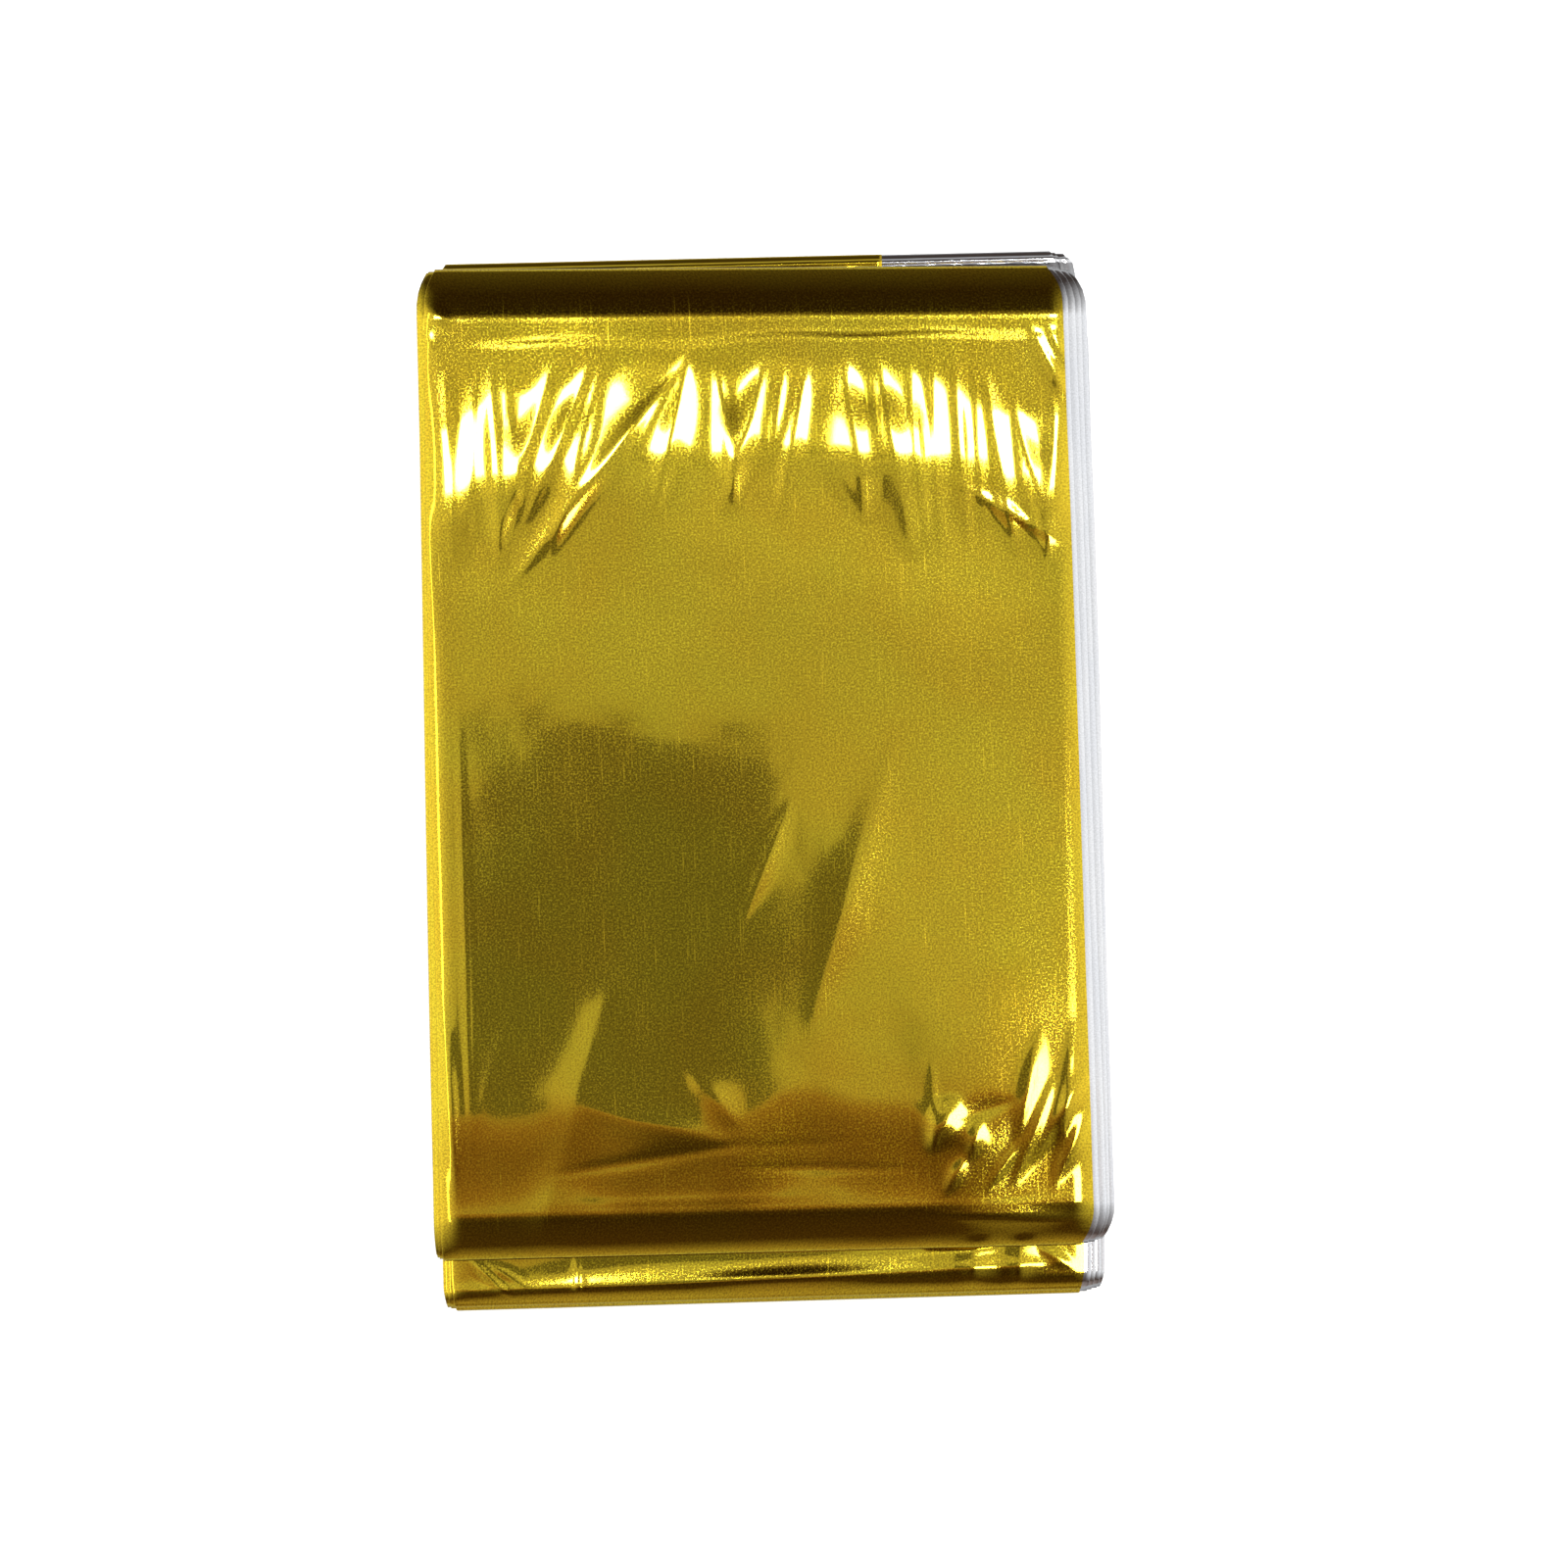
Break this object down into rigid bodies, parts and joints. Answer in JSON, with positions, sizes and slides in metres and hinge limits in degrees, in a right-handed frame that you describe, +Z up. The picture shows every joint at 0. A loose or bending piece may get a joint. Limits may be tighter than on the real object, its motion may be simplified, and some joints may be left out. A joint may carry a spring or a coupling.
{
  "type": "emergency foil blanket",
  "caption": "Folded packet of gold and silver metallised film: a thin sheet pleated into a strip and folded back and forth, with rolled end folds and a silver margin along one side.",
  "frame": {"origin": "under the middle of the packet, on the surface it lies on", "axes": "+X across the packet towards the side with the silver margin, +Y along it towards the end with the long rolled fold, +Z up through its face"},
  "size_m": [0.0706, 0.1094, 0.0097],
  "materials": {
    "gold_film": "vacuum-metallised polyester film, gold lacquered on its outer side and plain silver on the other, mirror bright with fine scratches"
  },
  "bodies": {
    "root": {"foil_blanket": "gold_film"}
  },
  "joints": []
}
